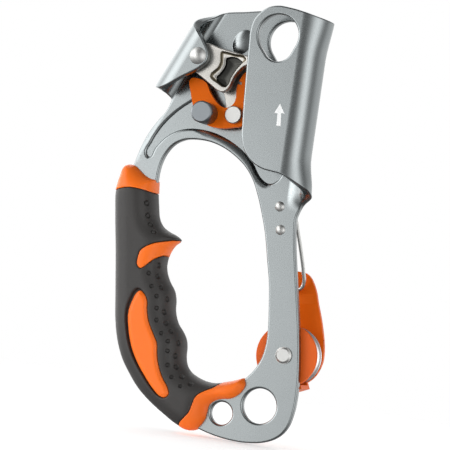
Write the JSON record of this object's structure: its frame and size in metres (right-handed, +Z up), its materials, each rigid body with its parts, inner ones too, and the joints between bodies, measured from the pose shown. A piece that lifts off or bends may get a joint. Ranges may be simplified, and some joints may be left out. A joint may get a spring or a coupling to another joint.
{
  "type": "handled rope ascender",
  "caption": "Handled rope ascender: formed aluminium frame with a rope channel, toothed sprung cam with catch lever, rubber hand grip, and a rear pulley behind a wire gate.",
  "frame": {"origin": "centre of the large lower attachment hole, at mid thickness of the plate", "axes": "+Z up along the rope channel, +X across the plate toward the channel's bend, -Y out of the front face that carries the cam; the pulley is on the +Y side"},
  "size_m": [0.1096, 0.0368, 0.2041],
  "materials": {
    "anodised_frame": "satin blue-grey anodised",
    "cast_cam": "cast, nickel plated",
    "steel": "satin",
    "spring_steel": "dark",
    "orange_metal": "satin",
    "knob_metal": "satin grey anodised",
    "grip_rubber": "matt dark grey",
    "orange_plastic": "satin",
    "sheave_metal": "bright turned",
    "black_plastic": "matt"
  },
  "bodies": {
    "frame_body": {"frame": "anodised_frame", "cam_pivot": "steel", "cam_spring": "spring_steel", "grip_front": "grip_rubber", "grip_rear": "grip_rubber", "top_collar": "orange_plastic", "bottom_collar": "orange_plastic", "finger_blade": "orange_plastic", "inlay_front": "orange_plastic", "inlay_rear": "orange_plastic", "pulley_axle": "steel", "guard_disc": "orange_metal", "bearing_inner": "steel", "axle_spacers": "steel", "bracket": "orange_metal", "gate_block": "black_plastic", "gate_rivets": "steel"},
    "cam_body": {"cam": "cast_cam", "lever_rivet": "steel"},
    "lever_body": {"safety_lever": "orange_metal", "lever_spring": "spring_steel", "thumb_knob": "knob_metal", "knob_stud": "steel"},
    "sheave_body": {"sheave": "sheave_metal", "bearing_outer": "steel", "bearing_balls": "steel"},
    "gate_body": {"wire_gate": "steel"}
  },
  "joints": [
    {"name": "cam_open", "type": "hinge", "parent": "frame_body", "child": "cam_body", "pos_m": [-0.05, -0.0075, 0.1586], "axis": [0, 1, 0], "range_deg": [0, 30], "stiffness_Nm_per_rad": 0.12, "springref_deg": -28.65},
    {"name": "lever_press", "type": "hinge", "parent": "cam_body", "child": "lever_body", "pos_m": [-0.0309, -0.0062, 0.1335], "axis": [0, -1, 0], "range_deg": [0, 8], "stiffness_Nm_per_rad": 0.03, "springref_deg": -17.19},
    {"name": "sheave_spin", "type": "hinge", "parent": "frame_body", "child": "sheave_body", "pos_m": [0.0084, 0.009, 0.0251], "axis": [0, 1, 0], "continuous": true},
    {"name": "gate_open", "type": "hinge", "parent": "frame_body", "child": "gate_body", "pos_m": [-0.003, 0.0054, 0.0884], "axis": [-0.9848, 0, -0.1736], "range_deg": [0, 16], "stiffness_Nm_per_rad": 0.03, "springref_deg": -17.19}
  ]
}
